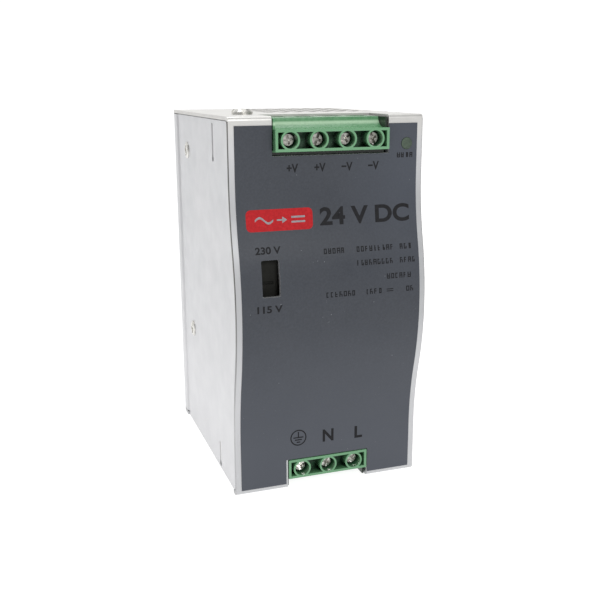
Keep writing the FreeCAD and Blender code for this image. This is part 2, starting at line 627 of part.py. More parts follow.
def end_board(side):
    """Board across the case behind a terminal block, with a tab in the side panel's slit."""
    y = (f"{side}_board", f"{side}_board + board")
    plate = block(("end_board_left", "end_board_right"), y, drops(side, "end_board_gap",
                                                                  "end_board_drop"))
    low, high = slit_span(side)
    tab = block((f"{PANEL_OUTER} + {side}_recess", "end_board_left + 1"), y,
                (f"{low} + 0.9", f"{high} - 0.3"))
    slots = [block((f"{x} - contact_half - pin_gap", f"{x} + contact_half + pin_gap"),
                   (f"{y[0]} - 1", f"{y[1]} + 1"),
                   drops(side, "contact_foot - contact_sheet - pin_gap", "contact_foot + pin_gap"))
             for x in pole_centres(side)]
    keep(cut(fuse(plate, tab), *slots), f"{side}_board")


def posts():
    """Y and Z of the stand-offs; the last one comes up through the insulation sheet."""
    return [("post_front", "post_low"), ("post_rear", "post_low"), ("post_front", "post_high"),
            ("post_middle", "post_inner")]


def main_board():
    """Upright board beside the side panel, with an arm that reaches the selector slot."""
    x = ("board_x", "board_x + board")
    plate = block(x, ("board_front", "board_rear"), ("board_low", "board_high"))
    arm = block(x, ("arm_front", "board_front + 1"), ("arm_low", "arm_high"))
    wide = ("board_x - 1", "board_x + board + 1")
    notches = [block(wide, ("sink_front - 0.5", "board_rear + 1"), (f"{low} - 1", f"{high} + 1"))
               for low, high in (("sink_low_a", "sink_high_a"), ("sink_low_b", "sink_high_b"))]
    holes = [rod("X", centre, wide, "case_hole") for centre in posts()]
    keep(cut(fuse(plate, arm), *notches, *holes), "main_board")


def board_mounting():
    tubes = [cut(rod("X", centre, (PANEL_INNER, "board_x"), "post_radius"),
                 rod("X", centre, (f"{PANEL_INNER} - 1", "board_x + 1"), "case_hole"))
             for centre in posts()]
    keep(group(*tubes), "board_standoffs")
    keep(group(*[screw(("board_x + board", *centre), "X", "small_head", "small_head_height",
                       "case_shank", "4") for centre in posts()]), "board_screws")
    film = block((PANEL_INNER, f"{PANEL_INNER} + isolation"), ("board_front + 1", "film_rear"),
                 ("film_low", "film_high"))
    hole = rod("X", posts()[3], (f"{PANEL_INNER} - 1", f"{PANEL_INNER} + 1"), "post_radius + 0.2")
    keep(cut(film, hole), "insulation_sheet")
    links = [block((FACE_X, f"{FACE_X} + link"), (f"{side}_board + board", "board_front + 2"),
                   (f"{side}_link", f"{side}_link + {side}_link_height")) for side in SIDES]
    keep(group(*links), "board_links")


def selector():
    """Slide switch behind the slot; its shutter fills the slot at both ends of the travel."""
    middle = "(slot_left + slot_right) / 2"
    body = block((FACE_X, "slot_right + 2"), ("switch_front", "switch_rear"),
                 ("switch_low", "switch_high"))
    window = block((f"{middle} - slider_half - slider_gap", f"{middle} + slider_half + slider_gap"),
                   ("switch_front - 1", "switch_rear - 2"),
                   ("slider_low - slider_gap", "slider_high + slider_travel + slider_gap"))
    keep(cut(body, window), "selector_body")
    stem = block((f"{middle} - slider_half", f"{middle} + slider_half"),
                 ("slider_front", "switch_rear - 2.3"), ("slider_low", "slider_high"))
    shutter = block(("slot_left - shutter_side", "slot_right + shutter_side"),
                    ("slider_front", "slider_front + shutter"), ("shutter_low", "shutter_high"))
    groove = block((f"{middle} - slider_half", f"{middle} + slider_half"),
                   ("slider_front - 1", "slider_front + 0.6"),
                   ("slider_low + 1.5", "slider_high - 1.5"))
    keep(cut(fuse(stem, shutter), groove), "selector_slider")


def lamp():
    centre = ("lamp_x", "lamp_z")
    lens = rod("Y", centre, ("face - lamp_proud", "face + 5"), "lamp_radius")
    collar = rod("Y", centre, ("face + cover + 0.1", "face + 5"), "lamp_collar")
    keep(fuse(lens, collar), "status_lamp")
    keep(rod("Y", centre, ("face + 5", "output_board"), "lamp_collar"), "lamp_spacer")


def trimmer():
    """Output voltage trimmer, set before the cover goes on."""
    y = "output_board + board + 3.5"
    body = block(("trimmer_x - 4", "trimmer_x + 4"), ("output_board + board", f"{y} + 3.5"),
                 ("trimmer_top - 6", "trimmer_top"))
    seat = rod("Z", ("trimmer_x", y), ("trimmer_top - 2.05", "trimmer_top + 1"),
               "trimmer_radius + 0.05")
    keep(cut(body, seat), "trimmer_body")
    rotor = rod("Z", ("trimmer_x", y), ("trimmer_top - 2", "trimmer_top + 0.8"), "trimmer_radius")
    slot = block(("trimmer_x - 3", "trimmer_x + 3"), (f"{y} - 0.35", f"{y} + 0.35"),
                 ("trimmer_top", "trimmer_top + 1"))
    keep(cut(rotor, slot), "trimmer_rotor")


# ---------------------------------------------------------------- parts on the main board

def can(y, z, radius, length):
    """An electrolytic can standing out from the board, with its crimped neck."""
    body = rod("X", (y, z), (FACE_X, f"{FACE_X} + {length}"), radius)
    return cut(body, ring("X", (f"{FACE_X} + 3", y, z), radius, "0.6"))


def wound_ring(y, z, label):
    """A ring core flat to the board, with loops of wire round its section."""
    x = f"{FACE_X} + wire_loop + wire_radius + 0.3"
    keep(ring("X", (x, y, z), "ring_core", "ring_section"), f"{label}_core")
    loops = []
    for index in range(16):
        angle = 22.5 * index
        loop = ring("Z", ("0", "0", "0"), "wire_loop", "wire_radius", turn=angle)
        centre = (x, f"{y} + ring_core * cos({angle})", f"{z} + ring_core * sin({angle})")
        for letter, text in zip("xyz", centre):
            loop.setExpression(f"Placement.Base.{letter}", refer(text))
        loops.append(loop)
    keep(group(*loops), f"{label}_winding")


def heat_sink(low, high, screw_z, label):
    """An angle: a foot on the side panel and a leg across the case."""
    foot_rear = "sink_rear - lip - 4.6"
    profile = [(PANEL_INNER, "sink_front"), (f"{PANEL_INNER} + sink_sheet", "sink_front"),
               (f"{PANEL_INNER} + sink_sheet", "sink_rear - sink_sheet"),
               ("sink_right", "sink_rear - sink_sheet"), ("sink_right", "sink_rear"),
               (f"{PANEL_INNER} + 1.8", "sink_rear"), (f"{PANEL_INNER} + 1.8", foot_rear),
               (PANEL_INNER, foot_rear)]
    solid = prism("Z", profile, (low, high))
    hole = rod("X", ("side_screw_y", screw_z), (f"{PANEL_INNER} - 1", f"{PANEL_INNER} + 4"),
               "case_hole")
    keep(cut(solid, hole), label)


def power_package(x, low, board_level, lead_depth):
    """A power device on a heat sink's leg, its three leads bent to the board."""
    rear = "sink_rear - sink_sheet"
    case = block((x, f"{x} + package"), (f"{rear} - package_depth", rear),
                 (low, f"{low} + package_height"))
    y = (f"{rear} - {lead_depth} - lead", f"{rear} - {lead_depth}")
    leads = []
    for index in range(3):
        left = f"{x} + package / 2 - lead_width / 2 + {index - 1} * lead_pitch"
        right = f"{left} + lead_width"
        foot = f"{board_level} + {index} * lead_step"
        upright = block((left, right), y, (foot, f"{low} + 0.5"))
        across = block((FACE_X, right), y, (foot, f"{foot} + lead"))
        leads += [upright, across]
    return fuse(case, *leads)


def transformer():
    x = ("core_left", "core_right")
    y = ("core_front", "core_rear")
    z = ("core_low", "core_high")
    middle = "(core_front + core_rear) / 2"
    windows = [
        block(("core_left - 1", "core_right + 1"), span, ("core_low + 5", "core_high - 5"))
        for span in (("core_front + core_leg", f"{middle} - core_leg"),
                     (f"{middle} + core_leg", "core_rear - core_leg"))]
    keep(cut(block(x, y, z), *windows), "transformer_core")
    coil = block(("coil_left", "coil_right"),
                 ("core_front + core_leg + 0.2", "core_rear - core_leg - 0.2"),
                 ("core_low + 5.2", "core_high - 5.2"))
    leg = block(("core_left - 0.2", "core_right + 0.2"),
                (f"{middle} - core_leg - 0.2", f"{middle} + core_leg + 0.2"), z)
    keep(cut(coil, leg), "transformer_winding")


def board_parts():
    keep(group(*[can("bulk_y", z, "bulk_radius", "bulk_length") for z in ("bulk_low", "bulk_high")]),
         "bulk_capacitors")
    keep(group(*[can(y, z, "small_can", "small_can_length")
                 for y, z in (("can_front", "can_low"), ("can_front", "can_high"),
                              ("can_rear", "can_low"))]), "output_capacitors")
    transformer()
    wound_ring("filter_y", "filter_z", "filter_choke")
    wound_ring("choke_y", "choke_z", "output_choke")
    heat_sink("sink_low_a", "sink_high_a", "side_screw_low", "primary_heat_sink")
    heat_sink("sink_low_b", "sink_high_b", "side_screw_high", "output_heat_sink")
    keep(power_package("package_left", "switch_device", "sink_low_a - 3.7", "2"),
         "switching_transistor")
    keep(group(power_package("package_left", "rectifier_device", "sink_low_b - 4.2", "2.2"),
               power_package("package_right", "rectifier_device", "sink_low_b - 4.2", "0.8")),
         "output_rectifiers")
    sink_face = "sink_rear - sink_sheet"
    keep(block(("bridge_left", "bridge_right"), (f"{sink_face} - bridge_depth", sink_face),
               ("bridge_low", "bridge_high")), "bridge_rectifier")
    keep(block((FACE_X, f"{FACE_X} + film_cap_width"), ("film_cap_front", "film_cap_rear"),
               ("film_cap_low", "film_cap_high")), "x_capacitor")
    keep(group(*[rod("Y", ("disc_x", z), ("disc_front", "disc_rear"), "disc_radius")
                 for z in ("disc_low", "disc_high")]), "y_capacitors")
    keep(rod("Y", ("inrush_x", "inrush_z"), ("inrush_front", "inrush_rear"), "inrush_radius"),
         "thermistor")
    fuse_centre = (f"{FACE_X} + 3", "fuse_z")
    glass = rod("Y", fuse_centre, ("fuse_front + 3", "fuse_rear - 3"), "fuse_radius - 0.3")
    caps = [rod("Y", fuse_centre, span, "fuse_radius")
            for span in (("fuse_front", "fuse_front + fuse_cap"),
                         ("fuse_rear - fuse_cap", "fuse_rear"))]
    keep(fuse(glass, *caps), "fuse")
    keep(group(*[block((FACE_X, f"{FACE_X} + chip"), ("chip_front", "chip_rear"),
                       (z, f"{z} + chip_height")) for z in ("chip_low", "chip_high")]),
         "control_chips")


# ---------------------------------------------------------------- rail clip

def clip_screws():
    return [(x, z) for x in ("-clip_screw_x", "clip_screw_x")
            for z in ("clip_screw_high", "clip_screw_low")]


def hook(y_low, lip_low, lip_high, shelf, x):
    """A shelf out from the seat and a lip across the edge of the rail."""
    out = block(x, (y_low, "hook_rear"), shelf)
    lip = block(x, ("hook_rear - steel", "hook_rear"), (lip_low, lip_high))
    return fuse(out, lip)


def rail_bracket():
    """Steel bracket: feet on the rear wall, a raised seat, fixed hooks and latch guides."""
    top_edge = "middle + rail / 2"
    path = [("rear", "clip_low"), ("rear", "clip_step"), ("seat - steel", "clip_step"),
            ("seat - steel", "clip_top"), ("rear", "clip_top"), ("rear", "clip_high")]
    plate = bent_sheet("X", path, "steel", ("-clip_half", "clip_half"))
    latch_way = block(("-latch_half - guide_gap", "latch_half + guide_gap"),
                      ("rear + steel", "seat + 5"), ("clip_low - 1", "clip_step + steel + 0.5"))
    hook_way = block(("-latch_hook_half - guide_gap", "latch_hook_half + guide_gap"),
                     ("rear + steel", "seat + 5"),
                     ("clip_step", "middle - rail / 2 + hook_grip + 1"))
    holes = [rod("Y", (x, z), ("rear - 1", "rear + 5"), "case_hole") for x, z in clip_screws()]
    hooks = [hook("seat - 0.5", f"{top_edge} - hook_grip", f"{top_edge} + hook_gap",
                  (f"{top_edge} + hook_gap - 0.1", f"{top_edge} + hook_gap + steel"),
                  (f"{x} - hook_half", f"{x} + hook_half")) for x in ("-hook_x", "hook_x")]
    guides = []
    for sign in ("-", ""):
        near = f"{sign}(latch_half + guide_gap)"
        far = f"{sign}(latch_half + guide_gap + steel)"
        inner = f"{sign}(latch_half - 1.5)"
        wall_x = (far, near) if sign else (near, far)
        lip_x = (far, inner) if sign else (inner, far)
        guides += [block(wall_x, ("rear + steel - 0.1", "seat - 0.1"), ("guide_low", "guide_high")),
                   block(lip_x, ("seat - steel - 0.1", "seat - 0.1"), ("guide_low", "guide_high"))]
    anchor = block(("-window_half + 0.4", "window_half - 0.4"), ("rear + 0.8", "seat - steel + 0.1"),
                   ("anchor", "anchor + steel"))
    body = cut(plate, latch_way, hook_way, *holes)
    keep(fuse(body, *hooks, *guides, anchor), "rail_bracket")


def rail_latch():
    """Sliding latch: a hook at the rail's lower edge, a spring window and a pull foot."""
    y = ("latch_in", "latch_in + steel - 0.1")
    low_edge = "middle - rail / 2"
    plate = block(("-latch_half", "latch_half"), y, ("latch_foot", "latch_top"))
    window = block(("-window_half", "window_half"), ("latch_in - 1", "latch_in + 3"),
                   ("anchor - 0.4", "spring_top"))
    pull = block(("-latch_half / 2", "latch_half / 2"), ("latch_in - 1", "latch_in + 3"),
                 ("latch_foot + 2.5", "latch_foot + 4.5"))
    shelf = (f"{low_edge} - hook_gap - steel", f"{low_edge} - hook_gap")
    catch = hook("latch_in", f"{low_edge} - hook_gap - 0.1", f"{low_edge} + hook_grip", shelf,
                 ("-latch_hook_half", "latch_hook_half"))
    keep(fuse(cut(plate, window, pull), catch), "rail_latch")


def latch_spring():
    """Compression spring between the bracket's anchor and the latch window's top."""
    floor = "anchor + steel + spring_wire"
    coil = doc.addObject("Part::Helix", "coil")
    bind(coil, Pitch="spring_pitch", Radius="spring_radius",
         Height=f"spring_top - spring_wire - ({floor})")
    locate(coil, ("0", "spring_y", floor))
    section = doc.addObject("Part::Circle", "section")
    bind(section, Radius="spring_wire")
    locate(section, ("spring_radius", "spring_y", floor), "Y")
    spring = doc.addObject("Part::Sweep", "spring")
    spring.Sections = [section]
    spring.Spine = (coil, ["Edge1"])
    spring.Solid = True
    spring.Frenet = True
    keep(spring, "latch_spring")


def bracket_screws():
    keep(group(*[screw((x, "rear + steel", z), "Y", "small_head", "small_head_height",
                       "case_shank", "4") for x, z in clip_screws()]), "bracket_screws")


# ---------------------------------------------------------------- assembly

def build():
    chassis()
    front_cover()
    side_panel()
    front_label()
    case_screws()
    for side in SIDES:
        terminal_housing(side)
        terminal_contacts(side)
        terminal_screws(side)
        terminal_clamps(side)
        end_board(side)
    main_board()
    board_mounting()
    selector()
    lamp()
    trimmer()
    board_parts()
    rail_bracket()
    rail_latch()
    latch_spring()
    bracket_screws()
    doc.recompute()


def export():
    for item in doc.Objects:
        if {"Invalid", "Error"} & set(item.State):
            raise RuntimeError(f"{item.Label} failed: {item.State}")
    for item in sub_parts:
        if item.Shape.isNull() or not item.Shape.isValid():
            raise RuntimeError(f"{item.Label} has no valid shape")
    os.makedirs("parts", exist_ok=True)
    for item in sub_parts:
        item.Shape.exportStep(os.path.join("parts", f"{item.Label}.step"))


build()
export()
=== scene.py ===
"""Looks of a metal-cased DIN rail power supply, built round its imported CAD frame. Metres, +Z up."""

import json
import math
import random

import bmesh
import bpy
from mathutils import Matrix, Vector
from mathutils.bvhtree import BVHTree


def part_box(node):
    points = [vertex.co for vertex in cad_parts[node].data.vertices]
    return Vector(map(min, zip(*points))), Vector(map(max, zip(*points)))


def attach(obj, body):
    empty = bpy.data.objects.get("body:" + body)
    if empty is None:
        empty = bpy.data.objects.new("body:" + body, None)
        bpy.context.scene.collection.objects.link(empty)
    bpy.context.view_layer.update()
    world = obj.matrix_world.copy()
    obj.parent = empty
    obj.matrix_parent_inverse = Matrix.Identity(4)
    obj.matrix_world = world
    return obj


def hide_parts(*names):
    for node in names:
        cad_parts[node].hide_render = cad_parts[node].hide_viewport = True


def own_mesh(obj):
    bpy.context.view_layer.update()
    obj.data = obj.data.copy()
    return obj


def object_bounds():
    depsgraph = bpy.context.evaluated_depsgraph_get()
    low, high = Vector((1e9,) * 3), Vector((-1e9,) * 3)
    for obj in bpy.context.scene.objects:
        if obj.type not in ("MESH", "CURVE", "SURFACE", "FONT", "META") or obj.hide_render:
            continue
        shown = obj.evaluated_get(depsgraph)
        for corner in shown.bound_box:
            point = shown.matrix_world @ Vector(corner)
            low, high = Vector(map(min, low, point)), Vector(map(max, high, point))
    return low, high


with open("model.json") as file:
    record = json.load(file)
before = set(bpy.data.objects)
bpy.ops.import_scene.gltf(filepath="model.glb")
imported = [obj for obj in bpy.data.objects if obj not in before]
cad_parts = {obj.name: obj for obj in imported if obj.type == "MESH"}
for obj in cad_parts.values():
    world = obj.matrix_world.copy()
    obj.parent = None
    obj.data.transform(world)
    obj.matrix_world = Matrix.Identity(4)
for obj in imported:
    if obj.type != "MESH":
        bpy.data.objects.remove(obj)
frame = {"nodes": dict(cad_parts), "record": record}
cad_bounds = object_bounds()
nodes = frame["nodes"]
slots = {part["node"]: part["material_slot"] for part in frame["record"]["subparts"]}
scene = bpy.context.scene
MM = 0.001


# ---------------------------------------------------------------- camera and stage

CAMERA_PLACE = Vector((-0.0973, -0.2976, 0.1343))
CAMERA_TURN = math.radians(19.07)      # to the right of +Y
CAMERA_DIP = math.radians(14.23)       # below the horizon
CAMERA_ROLL = math.radians(0.22)
CAMERA_LENS = 50.8
CAMERA_SENSOR = 36

SWEEP_HALF_WIDTH = 3.0
SWEEP_FRONT = -2.5
SWEEP_BACK = 1.4                       # where the floor starts to curve up
SWEEP_RADIUS = 0.8
SWEEP_TOP = 3.0
SWEEP_STEPS = 12
SWEEP_GREY = 0.3
SWEEP_GLOW = 0.9
FLOOR_GAP = 0.2 * MM
SKY_GLOW = 0.38
LIGHTS = (                             # name, place, side of the square, power in watts
    ("key", (0.1, -1.15, 0.72), 0.3, 6.4),
    ("overhead", (0.0, 0.3, 1.2), 0.9, 7),
)
LIGHTS_AIM = (0, 0, 0.06)


def make_camera():
    """A camera ahead of the front and to its left, a little higher than the roof."""
    forward = Vector((math.sin(CAMERA_TURN) * math.cos(CAMERA_DIP),
                      math.cos(CAMERA_TURN) * math.cos(CAMERA_DIP), -math.sin(CAMERA_DIP)))
    right = Vector((math.cos(CAMERA_TURN), -math.sin(CAMERA_TURN), 0))
    down = forward.cross(right)
    rolled_right = math.cos(CAMERA_ROLL) * right + math.sin(CAMERA_ROLL) * down
    rolled_down = math.cos(CAMERA_ROLL) * down - math.sin(CAMERA_ROLL) * right
    turn = Matrix((rolled_right, -rolled_down, -forward)).transposed()
    data = bpy.data.cameras.new("camera")
    data.lens = CAMERA_LENS
    data.sensor_width = CAMERA_SENSOR
    data.clip_start = 0.01
    camera = bpy.data.objects.new("camera", data)
    camera.matrix_world = Matrix.Translation(CAMERA_PLACE) @ turn.to_4x4()
    scene.collection.objects.link(camera)
    scene.camera = camera


def area_light(name, place, side, power):
    """A square lamp that faces the object."""
    data = bpy.data.lights.new(name, "AREA")
    data.size = side
    data.energy = power
    light = bpy.data.objects.new(name, data)
    light.location = place
    aim = Vector(LIGHTS_AIM) - Vector(place)
    light.rotation_euler = aim.to_track_quat("-Z", "Y").to_euler()
    scene.collection.objects.link(light)


def make_sweep():
    """Pale paper: a flat floor that curves up behind the object."""
    level = cad_bounds[0].z - FLOOR_GAP
    profile = [(SWEEP_FRONT, level), (SWEEP_BACK, level)]
    for step in range(1, SWEEP_STEPS + 1):
        angle = math.radians(90 * step / SWEEP_STEPS)
        profile.append((SWEEP_BACK + SWEEP_RADIUS * math.sin(angle),
                        level + SWEEP_RADIUS * (1 - math.cos(angle))))
    profile.append((SWEEP_BACK + SWEEP_RADIUS, level + SWEEP_TOP))
    sweep = bmesh.new()
    left, right = [[sweep.verts.new((x, y, z)) for y, z in profile]
                   for x in (-SWEEP_HALF_WIDTH, SWEEP_HALF_WIDTH)]
    for index in range(len(profile) - 1):
        face = sweep.faces.new((left[index], right[index], right[index + 1], left[index + 1]))
        face.smooth = True
    mesh = bpy.data.meshes.new("sweep")
    sweep.to_mesh(mesh)
    sweep.free()
    floor = bpy.data.objects.new("sweep", mesh)
    scene.collection.objects.link(floor)
    material = bpy.data.materials.new("sweep_paper")
    material.use_nodes = True
    shader = material.node_tree.nodes["Principled BSDF"]
    shader.inputs["Base Color"].default_value = (SWEEP_GREY, SWEEP_GREY, SWEEP_GREY, 1)
    shader.inputs["Roughness"].default_value = 1.0
    shader.inputs["Specular IOR Level"].default_value = 0.0
    shader.inputs["Emission Color"].default_value = (1, 1, 1, 1)
    shader.inputs["Emission Strength"].default_value = SWEEP_GLOW
    mesh.materials.append(material)


def light_stage():
    """Soft light from all round, with a key from the front and a broad light overhead."""
    world = bpy.data.worlds.new("studio")
    scene.world = world
    world.use_nodes = True
    background = world.node_tree.nodes["Background"]
    background.inputs["Color"].default_value = (1, 1, 1, 1)
    background.inputs["Strength"].default_value = SKY_GLOW
    for name, place, side, power in LIGHTS:
        area_light(name, place, side, power)
    scene.view_settings.view_transform = "Standard"


# ---------------------------------------------------------------- materials

def srgb(red, green, blue):
    """A display colour from 0 to 255 as linear values."""
    def linear(value):
        value /= 255
        return value / 12.92 if value <= 0.04045 else ((value + 0.055) / 1.055) ** 2.4
    return (linear(red), linear(green), linear(blue), 1)


MIX_FIRST, MIX_SECOND, MIX_RESULT = 6, 7, 2      # the colour sockets of a Mix node
SPREAD_SOCKETS = ("From Min", "From Max", "To Min", "To Max")
NOISE_SPAN = (0.3, 0.7)                # where nearly all of a noise's values lie


class Finish:
    """A material built round one Principled shader in object coordinates.

    Sizes are in metres. A factor is a socket whose value runs from 0 to 1.
    """

    def __init__(self, name, color, roughness, metallic=0.0, **sockets):
        self.material = bpy.data.materials.new(name)
        self.material.use_nodes = True
        self.tree = self.material.node_tree
        self.shader = self.tree.nodes["Principled BSDF"]
        self.coordinates = self.tree.nodes.new("ShaderNodeTexCoord").outputs["Object"]
        self.shader.inputs["Base Color"].default_value = color
        self.shader.inputs["Roughness"].default_value = roughness
        self.shader.inputs["Metallic"].default_value = metallic
        for socket, value in sockets.items():
            self.shader.inputs[socket.replace("_", " ")].default_value = value
        self.normal = None

    def link(self, source, target):
        self.tree.links.new(source, target)

    def stretched(self, scale):
        """Object coordinates scaled along each axis."""
        mapping = self.tree.nodes.new("ShaderNodeMapping")
        mapping.inputs["Scale"].default_value = scale
        self.link(self.coordinates, mapping.inputs["Vector"])
        return mapping.outputs["Vector"]

    def noise(self, size, detail=4.0, rough=0.55, stretch=(1, 1, 1)):
        """Cloudy noise whose features are about size metres across."""
        node = self.tree.nodes.new("ShaderNodeTexNoise")
        node.inputs["Scale"].default_value = 1.0 / size
        node.inputs["Detail"].default_value = detail
        node.inputs["Roughness"].default_value = rough
        self.link(self.stretched(stretch), node.inputs["Vector"])
        return node.outputs["Fac"]

    def spots(self, size):
        """Distance from the middle of cells about size metres across."""
        node = self.tree.nodes.new("ShaderNodeTexVoronoi")
        node.inputs["Scale"].default_value = 1.0 / size
        self.link(self.coordinates, node.inputs["Vector"])
        return node.outputs["Distance"]

    def spread(self, source, low, high, out_low=0.0, out_high=1.0):
        """The source's range from low to high, stretched to the output range and clamped."""
        node = self.tree.nodes.new("ShaderNodeMapRange")
        for socket, value in zip(SPREAD_SOCKETS, (low, high, out_low, out_high)):
            node.inputs[socket].default_value = value
        self.link(source, node.inputs["Value"])
        return node.outputs["Result"]

    def colors(self, factor, first, second):
        """The first colour where the factor is 0 and the second where it is 1."""
        node = self.tree.nodes.new("ShaderNodeMix")
        node.data_type = "RGBA"
        self.link(factor, node.inputs["Factor"])
        for index, color in ((MIX_FIRST, first), (MIX_SECOND, second)):
            if hasattr(color, "links"):
                self.link(color, node.inputs[index])
            else:
                node.inputs[index].default_value = color
        return node.outputs[MIX_RESULT]

    def along(self, direction):
        """The place along X, Y or Z."""
        node = self.tree.nodes.new("ShaderNodeSeparateXYZ")
        self.link(self.coordinates, node.inputs[0])
        return node.outputs[direction]

    def size(self, source):
        """The value without its sign."""
        node = self.tree.nodes.new("ShaderNodeMath")
        node.operation = "ABSOLUTE"
        self.link(source, node.inputs[0])
        return node.outputs[0]

    def product(self, first, second):
        node = self.tree.nodes.new("ShaderNodeMath")
        node.operation = "MULTIPLY"
        self.link(first, node.inputs[0])
        self.link(second, node.inputs[1])
        return node.outputs[0]

    def between(self, source, low, high, blur):
        """1 where the source is from low to high, fading to 0 over blur on both sides."""
        return self.product(self.spread(source, low - blur, low),
                            self.spread(source, high, high + blur, 1.0, 0.0))

    def base(self, source):
        """Paint the surface with a colour socket."""
        self.link(source, self.shader.inputs["Base Color"])
        return self

    def roughness(self, source, low, high):
        """Let the roughness drift from low to high with a noise."""
        self.link(self.spread(source, *NOISE_SPAN, low, high), self.shader.inputs["Roughness"])
        return self

    def bump(self, source, depth, strength=1.0):
        """Add a bump of this depth, over the bumps already there."""
        node = self.tree.nodes.new("ShaderNodeBump")
        node.inputs["Strength"].default_value = strength
        node.inputs["Distance"].default_value = depth
        self.link(source, node.inputs["Height"])
        if self.normal is not None:
            self.link(self.normal, node.inputs["Normal"])
        self.normal = node.outputs["Normal"]
        self.link(self.normal, self.shader.inputs["Normal"])
        return self


def case_aluminium(name="case_aluminium", bent=False):
    """Mill-finish sheet: rolling grain, faint cloudy stains and handling scuffs.

    On a bent sheet the front face is painted darker over the bulge as shade, and its cut edges are
    painted dark as the seam's shadow.
    The other sheets are painted paler low down as light thrown up from the floor.
    """
    finish = Finish(name, srgb(206, 206, 208), 0.46, metallic=0.6)
    cloud = finish.noise(22 * MM, detail=5, rough=0.6)
    grain = finish.noise(1.2 * MM, detail=3, stretch=(1, 1, 0.12))
    stained = finish.colors(finish.spread(cloud, *NOISE_SPAN), srgb(203, 204, 206),
                            srgb(209, 209, 211))
    surface = finish.colors(finish.spread(grain, 0.62, 0.78, 0, 0.35), stained,
                            srgb(190, 191, 193))
    across, depth, up = (finish.along(letter) for letter in "XYZ")
    if bent:
        roof = finish.spread(up, 115 * MM, 124 * MM, 0.0, 0.7)
        surface = finish.colors(roof, surface, srgb(209, 207, 201))
        # Painted shade: the bent sheet's front face is darkened over the bulge.
        ahead = finish.spread(depth, -39.0 * MM, -38.4 * MM, 1.0, 0.0)
        painted_front_shade = finish.product(finish.spread(up, 40 * MM, 60 * MM, 0.45, 1.0),
                                finish.spread(up, 98 * MM, 119 * MM, 1.0, 0.1))
        surface = finish.colors(finish.product(ahead, painted_front_shade), surface, srgb(180, 181, 183))
        # Painted shadow: the cut edges beside the side panel are darkened as the shadow in the seam,
        # fainter low down and stopping below the roof.
        edge = finish.spread(finish.size(across), 32.6 * MM, 32.66 * MM)
        edge = finish.product(edge, finish.spread(up, 25 * MM, 70 * MM, 0.2, 1.0))
        edge = finish.product(edge, finish.spread(up, 123.6 * MM, 124 * MM, 1.0, 0.0))
        surface = finish.colors(finish.product(ahead, edge), surface, srgb(72, 71, 68))
    else:
        # Painted light: these sheets are paler low down, as light thrown up from the floor.
        painted_floor_bounce = finish.spread(up, 20 * MM, 68 * MM, 0.9, 0.0)
        surface = finish.colors(painted_floor_bounce, surface, srgb(219, 219, 221))
    finish.base(surface)
    finish.roughness(finish.noise(6 * MM, detail=6), 0.36, 0.52)
    finish.bump(grain, 0.02 * MM, 0.35)
    return finish.bump(finish.noise(0.4 * MM, detail=2), 0.01 * MM, 0.3)


def label_film():
    """Printed polyester: slate ink with a sand texture, painted lighter low down as light from the
    floor, and lighter at the upper right.
    """
    finish = Finish("label_film", srgb(66, 70, 77), 0.4)
    # Painted light: the ink is lighter low down, as light thrown up from the floor.
    painted_bounce_fade = finish.spread(finish.along("Z"), 15 * MM, 60 * MM)
    ground = finish.colors(painted_bounce_fade, srgb(68, 72, 81), srgb(48, 52, 60))
    corner = finish.product(finish.spread(finish.along("X"), 0.0, 26 * MM),
                            finish.spread(finish.along("Z"), 65 * MM, 100 * MM))
    ground = finish.colors(corner, ground, srgb(60, 65, 75))
    mottle = finish.noise(0.7 * MM, detail=4)
    ground = finish.colors(finish.spread(mottle, 0.35, 0.75, 0, 0.28), ground, srgb(72, 77, 86))
    specks = finish.spread(finish.noise(0.8 * MM, detail=1), 0.79, 0.85)
    finish.base(finish.colors(specks, ground, srgb(128, 131, 136)))
    finish.roughness(finish.noise(10 * MM, detail=4), 0.36, 0.5)
    return finish.bump(finish.noise(0.5 * MM, detail=2), 0.01 * MM, 0.3)


def moulded(name, color, worn, roughness=0.4, size=0.7 * MM, **sockets):
    """Moulded plastic: fine spark texture and slight colour drift."""
    finish = Finish(name, color, roughness, **sockets)
    wear = finish.spread(finish.noise(6 * MM, detail=4), 0.35, 0.7)
    finish.base(finish.colors(wear, color, worn))
    finish.roughness(finish.noise(size * 2, detail=3), roughness - 0.07, roughness + 0.1)
    return finish.bump(finish.noise(size, detail=2), 0.01 * MM, 0.35)


